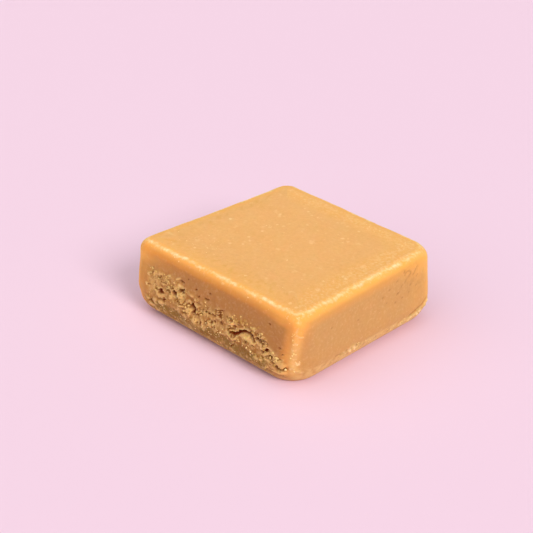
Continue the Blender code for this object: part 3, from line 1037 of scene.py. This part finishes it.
@dataclass
class FudgeBlock:
    """The visible block: the even form, cut, rounded and broken, as one closed mesh."""

    form: BlockForm = field(default_factory=BlockForm)
    cut: CutFaces = field(default_factory=CutFaces)
    broken: BrokenSide = field(default_factory=BrokenSide)
    finish: VanillaFudge = field(default_factory=VanillaFudge)
    shown: Surface | None = None
    marks: dict[Mark, np.ndarray] = field(default_factory=dict)

    def build(self) -> bpy.types.Object:
        """Makes the mesh and dresses it, and keeps its surface for the loose bits to lie on."""
        even = self.form.surface()
        points = even.points.copy()
        for relief in (self.cut.relief(self.form, even), self.broken.relief(self.form, even)):
            points += even.normals * relief.out[..., None]
            points[..., 2] += relief.up
            for mark, values in relief.marks.items():
                self.marks[mark] = np.maximum(self.marks.get(mark, 0), values)
        points[..., 2] = np.maximum(points[..., 2], 0)
        self.shown = Surface(points, even.normals, even.facing, even.rows)
        rows, columns = points.shape[:2]
        base_middle = np.array([[0.0, 0.0, 0.0]])
        top_middle = points[-1].mean(axis=0)[None]
        every = np.concatenate([points.reshape(-1, 3), base_middle, top_middle])
        piece = mesh_object("fudge_block", every, self.faces(rows, columns), self.finish.build())
        poles = np.zeros(2)
        mark_surface(piece, {mark: np.r_[values.ravel(), poles] for mark, values in self.marks.items()})
        return piece

    @staticmethod
    def faces(rows: int, columns: int) -> list:
        """Four-sided faces between neighbouring rows and columns, closed round the outline, and a fan of
        triangles at each pole."""
        index = np.arange(rows * columns).reshape(rows, columns)
        after = np.roll(index, -1, axis=1)
        quads = np.stack([index[:-1], after[:-1], after[1:], index[1:]], axis=-1).reshape(-1, 4)
        base, top = rows * columns, rows * columns + 1
        under = np.stack([after[0], index[0], np.full(columns, base)], axis=-1)
        over = np.stack([index[-1], after[-1], np.full(columns, top)], axis=-1)
        return quads.tolist() + under.tolist() + over.tolist()


@dataclass(frozen=True)
class Cluster:
    """A cloud of loose bits: its middle, its spread along each axis, and how many bits lie in it."""

    middle: tuple[float, float, float]
    spread: tuple[float, float, float]
    count: int


@dataclass
class LooseBits:
    """Loose bits of one kind that cling to the block, joined as one piece.

    Each is a small lump of 24 faces: a cube divided into 3 x 3 x 3 points, pushed out to a ball, stretched,
    made uneven and turned at random, and pressed a little into the surface.
    """

    name: str
    finish: LooseFudge
    least: float
    most: float
    seed: int
    clusters: tuple[Cluster, ...] = ()
    over: tuple[tuple[Mark, int], ...] = ()
    pressed: float = 0.15  # share of a bit's size by which it is pressed in

    @staticmethod
    def lump() -> tuple[np.ndarray, np.ndarray]:
        """The 26 points of the ball and its 24 faces, each face turned outward."""
        steps = [np.array(step) for step in itertools.product((-1, 0, 1), repeat=3) if any(step)]
        number = {tuple(step): i for i, step in enumerate(steps)}
        faces = []
        for axis, sign in itertools.product(range(3), (-1, 1)):
            first, second = (axis + 1) % 3, (axis + 2) % 3
            for low_first, low_second in itertools.product((-1, 0), repeat=2):
                ring = ((0, 0), (1, 0), (1, 1), (0, 1))[:: sign]
                face = []
                for step_first, step_second in ring:
                    place = [0, 0, 0]
                    place[axis], place[first], place[second] = sign, low_first + step_first, low_second + step_second
                    face.append(number[tuple(place)])
                faces.append(face)
        ball = np.array(steps, float)
        return ball / np.linalg.norm(ball, axis=1, keepdims=True), np.array(faces)

    def places(self, block: FudgeBlock, draw: np.random.Generator) -> tuple[np.ndarray, np.ndarray]:
        """Where the bits lie on the block, and the outward normals there.

        A mask takes vertices with a chance of its strength times the area that the vertex stands for. A cloud
        takes normally spread places and carries each to the flat through the nearest vertex.
        """
        points = block.shown.points
        step_up = np.gradient(points, axis=0)
        step_along = (np.roll(points, -1, axis=1) - np.roll(points, 1, axis=1)) / 2
        area = np.linalg.norm(np.cross(step_up, step_along), axis=-1).ravel()
        flat, normals = points.reshape(-1, 3), block.shown.normals.reshape(-1, 3)
        chosen, middles = [], []
        for mark, count in self.over:
            weight = block.marks[mark].ravel() * area
            chosen.append(draw.choice(len(flat), count, p=weight / weight.sum()))
            middles.append(flat[chosen[-1]])
        squares = (flat * flat).sum(axis=1)
        for cluster in self.clusters:
            cloud = draw.normal(cluster.middle, cluster.spread, (cluster.count, 3))
            nearest = (squares - 2 * cloud @ flat.T).argmin(axis=1)
            off = ((cloud - flat[nearest]) * normals[nearest]).sum(axis=1, keepdims=True)
            chosen.append(nearest)
            middles.append(cloud - off * normals[nearest])
        return np.concatenate(middles), normals[np.concatenate(chosen)]

    def build(self, block: FudgeBlock) -> bpy.types.Object:
        """Makes the piece."""
        draw = np.random.default_rng(self.seed)
        places, normals = self.places(block, draw)
        ball, faces = self.lump()
        count = len(places)
        size = self.least + (self.most - self.least) * draw.random(count) ** 1.6
        stretch = draw.uniform(0.55, 1.0, (count, 1, 3))
        uneven = draw.uniform(0.75, 1.2, (count, len(ball), 1))
        turn = draw.normal(size=(count, 4))
        w, x, y, z = (turn / np.linalg.norm(turn, axis=1, keepdims=True)).T
        turned = np.array(
            [
                [1 - 2 * (y * y + z * z), 2 * (x * y - w * z), 2 * (x * z + w * y)],
                [2 * (x * y + w * z), 1 - 2 * (x * x + z * z), 2 * (y * z - w * x)],
                [2 * (x * z - w * y), 2 * (y * z + w * x), 1 - 2 * (x * x + y * y)],
            ]
        )
        bits = np.einsum("ijn,nkj->nki", turned, ball * stretch * uneven) * (size / 2)[:, None, None]
        bits = bits + (places - normals * (self.pressed * size)[:, None])[:, None]
        bits[..., 2] = np.maximum(bits[..., 2], 0.02)
        every = (faces[None] + len(ball) * np.arange(count)[:, None, None]).reshape(-1, 4)
        return mesh_object(self.name, bits, every.tolist(), self.finish.build())


# ---------------------------------------------------------------------------------------------------------
# Studio
# ---------------------------------------------------------------------------------------------------------


@dataclass(frozen=True)
class Lamp:
    """A soft lamp far away: the direction toward it, its power and how wide it looks, in degrees."""

    name: str
    toward: tuple[float, float, float]
    power: float
    spread: float

    def build(self) -> None:
        """Adds the lamp."""
        data = bpy.data.lights.new(self.name, "SUN")
        data.energy = self.power
        data.angle = math.radians(self.spread)
        lamp = bpy.data.objects.new(self.name, data)
        lamp.rotation_euler = Vector(self.toward).to_track_quat("Z", "Y").to_euler()
        bpy.context.scene.collection.objects.link(lamp)


@dataclass
class Studio:
    """A plain pale floor, a soft lamp on the +X side, a broad one overhead, even light all round, a camera."""

    azimuth: float = 45.232
    elevation: float = 27.919
    distance: float = 152.12
    lens: float = 67.73
    roll: float = 1.147
    aim: tuple[float, float, float] = (0.10, 0.08, 5.925)
    aside: float = -3.394
    above: float = 1.522
    floor_side: float = 6000.0
    lamps: tuple[Lamp, ...] = (
        Lamp("soft lamp", (0.81, -0.16, 0.56), 1.97, 26.0),
        Lamp("broad lamp in front", (-0.02, -0.48, 0.87), 1.62, 100.0),
    )
    around: float = 0.25

    def camera(self) -> bpy.types.Object:
        """The camera, aimed beside the block's middle and rolled a little."""
        turn, rise, roll = (math.radians(v) for v in (self.azimuth, self.elevation, self.roll))
        back = Vector((math.sin(turn) * math.cos(rise), -math.cos(turn) * math.cos(rise), math.sin(rise)))
        right = Vector((math.cos(turn), math.sin(turn), 0))
        up = back.cross(right)
        across = right * math.cos(roll) + up * math.sin(roll)
        upright = up * math.cos(roll) - right * math.sin(roll)
        place = Vector(self.aim) + right * self.aside + up * self.above + back * self.distance
        data = bpy.data.cameras.new("camera")
        data.lens = self.lens
        data.clip_start = 0.005
        data.clip_end = 20.0
        camera = bpy.data.objects.new("camera", data)
        camera.matrix_world = Matrix.LocRotScale(
            place * MM, Matrix((across, upright, back)).transposed().to_quaternion(), None
        )
        bpy.context.scene.collection.objects.link(camera)
        bpy.context.scene.camera = camera
        return camera

    def floor(self) -> bpy.types.Object:
        """The floor, one flat square."""
        half = self.floor_side / 2
        corners = np.array([[-half, -half, 0], [half, -half, 0], [half, half, 0], [-half, half, 0]])
        board = mesh_object("floor", corners, [[0, 1, 2, 3]], PaleBoard().build())
        return board

    def light(self) -> None:
        """The lamps and the even light all round."""
        for lamp in self.lamps:
            lamp.build()
        world = bpy.data.worlds.new("studio")
        world.use_nodes = True
        world.node_tree.nodes["Background"].inputs["Color"].default_value = (1, 1, 1, 1)
        world.node_tree.nodes["Background"].inputs["Strength"].default_value = self.around
        bpy.context.scene.world = world

    def build(self) -> None:
        """Sets up the studio."""
        self.camera()
        self.floor()
        self.light()
        bpy.context.scene.view_settings.view_transform = "Standard"


def crumbs() -> LooseBits:
    """Crumbs of fudge that cling to the broken side and to the rough places along the base."""
    return LooseBits(
        name="clinging_crumbs",
        finish=LooseFudge(),
        least=0.18,
        most=0.48,
        seed=5,
        over=((Mark.CRUMBLY, 220),),
        clusters=(
            Cluster((-11.9, -16.6, 8.4), (0.7, 0.1, 0.5), 12),
            Cluster((-8.0, -16.6, 7.6), (1.1, 0.1, 0.6), 18),
            Cluster((8.0, -16.6, 7.5), (1.7, 0.1, 0.4), 40),
            Cluster((13.0, -16.4, 4.2), (1.0, 0.1, 0.7), 30),
            Cluster((16.4, -4.3, 2.8), (0.1, 0.9, 0.18), 12),
            Cluster((16.4, 6.8, 2.4), (0.1, 0.6, 0.18), 12),
            Cluster((16.4, 11.0, 3.5), (0.1, 1.0, 0.3), 14),
        ),
    )


TOP_FLECKS = (
    (-1.5, 11.7),
    (-0.7, 10.9),
    (-2.7, 9.5),
    (-2.1, 7.9),
    (1.3, 6.2),
    (-5.8, 1.9),
    (-2.7, 1.3),
    (1.3, -0.9),
    (-14.6, -1.3),
    (-10.0, -5.5),
    (-7.2, -5.0),
    (-11.0, -7.1),
    (-7.3, -8.0),
    (-5.4, -9.2),
    (-4.0, -9.9),
    (-5.8, -11.4),
    (-8.6, -11.2),
    (3.3, -9.0),
    (3.3, -7.9),
    (4.1, -4.5),
    (12.1, 11.7),
    (6.3, 12.7),
    (-13.7, -9.8),
    (13.3, -1.5),
    (4.2, 13.3),
    (9.0, -10.8),
)


def grains() -> LooseBits:
    """Grains of dried sugar on the top, along its edges and down the front corner."""
    return LooseBits(
        name="sugar_grains",
        finish=LooseFudge("dried sugar", "FFE69C", "F0CC80", 0.5),
        least=0.14,
        most=0.38,
        seed=9,
        pressed=0.25,
        clusters=(
            Cluster((16.4, -5.3, 2.8), (0.15, 0.5, 0.18), 34),
            Cluster((16.4, -3.5, 3.0), (0.15, 0.5, 0.22), 40),
            Cluster((16.2, 6.9, 2.8), (0.15, 0.5, 0.2), 34),
            Cluster((15.9, 9.8, 3.2), (0.15, 1.2, 0.2), 12),
            Cluster((13.2, 13.4, 11.9), (0.9, 0.9, 0.1), 10),
            Cluster((16.3, -15.6, 7.0), (0.22, 0.22, 2.0), 16),
            Cluster((2.3, -16.4, 3.7), (4.0, 0.2, 0.6), 50),
            Cluster((-8.0, -16.4, 3.2), (2.4, 0.2, 0.5), 26),
            Cluster((16.4, 1.0, 2.6), (0.2, 7.5, 0.3), 40),
        ),
    )


def dust() -> LooseBits:
    """Flat flecks of half-dissolved sugar, pressed into the top and its edges."""
    return LooseBits(
        name="sugar_dust",
        finish=LooseFudge("half-dissolved sugar", "FFDA9E", "F3C380", 0.6),
        least=0.16,
        most=0.50,
        seed=13,
        pressed=0.34,
        clusters=(
            *(Cluster((x, y, 11.9), (0.30, 0.22, 0.1), 5) for x, y in TOP_FLECKS),
            Cluster((-5.0, -15.3, 11.6), (7.5, 0.25, 0.3), 40),
            Cluster((15.9, -3.0, 11.6), (0.25, 8.0, 0.3), 26),
            Cluster((14.6, -15.3, 11.6), (0.22, 0.22, 0.1), 9),
            Cluster((15.9, -14.7, 11.8), (0.30, 0.25, 0.1), 12),
            Cluster((16.6, -12.4, 11.6), (0.25, 0.45, 0.1), 10),
            Cluster((16.3, -14.8, 9.0), (0.18, 0.18, 0.14), 6),
            Cluster((16.0, -14.7, 7.6), (0.28, 0.28, 0.08), 8),
            Cluster((15.9, -14.6, 6.4), (0.14, 0.14, 0.14), 6),
            Cluster((15.6, -14.6, 4.9), (0.22, 0.22, 0.10), 8),
            Cluster((15.9, -14.1, 4.2), (0.20, 0.20, 0.18), 9),
            Cluster((15.1, -14.6, 3.2), (0.32, 0.32, 0.10), 9),
            Cluster((14.8, -14.4, 11.8), (0.7, 0.7, 0.1), 14),
            Cluster((12.1, 14.0, 11.9), (0.28, 0.25, 0.1), 12),
            Cluster((11.8, 12.7, 11.9), (0.30, 0.25, 0.1), 8),
            Cluster((9.7, 13.9, 11.9), (0.40, 0.25, 0.1), 8),
            Cluster((13.9, 12.5, 11.9), (0.25, 0.25, 0.1), 8),
            Cluster((0.0, 0.0, 11.9), (8.0, 8.0, 0.1), 50),
            Cluster((-8.5, -8.5, 11.9), (3.4, 2.6, 0.1), 40),
        ),
    )


def main() -> None:
    """Builds the pieces in order."""
    logging.basicConfig(level=logging.INFO, format="%(message)s")
    Studio().build()
    block = FudgeBlock()
    pieces = [block.build(), crumbs().build(block), grains().build(block), dust().build(block)]
    for piece in pieces:
        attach(piece, BODY)
        LOG.info("%s: %d vertices, %d faces", piece.name, len(piece.data.vertices), len(piece.data.polygons))
    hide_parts(NODE)


if __name__ == "__main__":
    main()
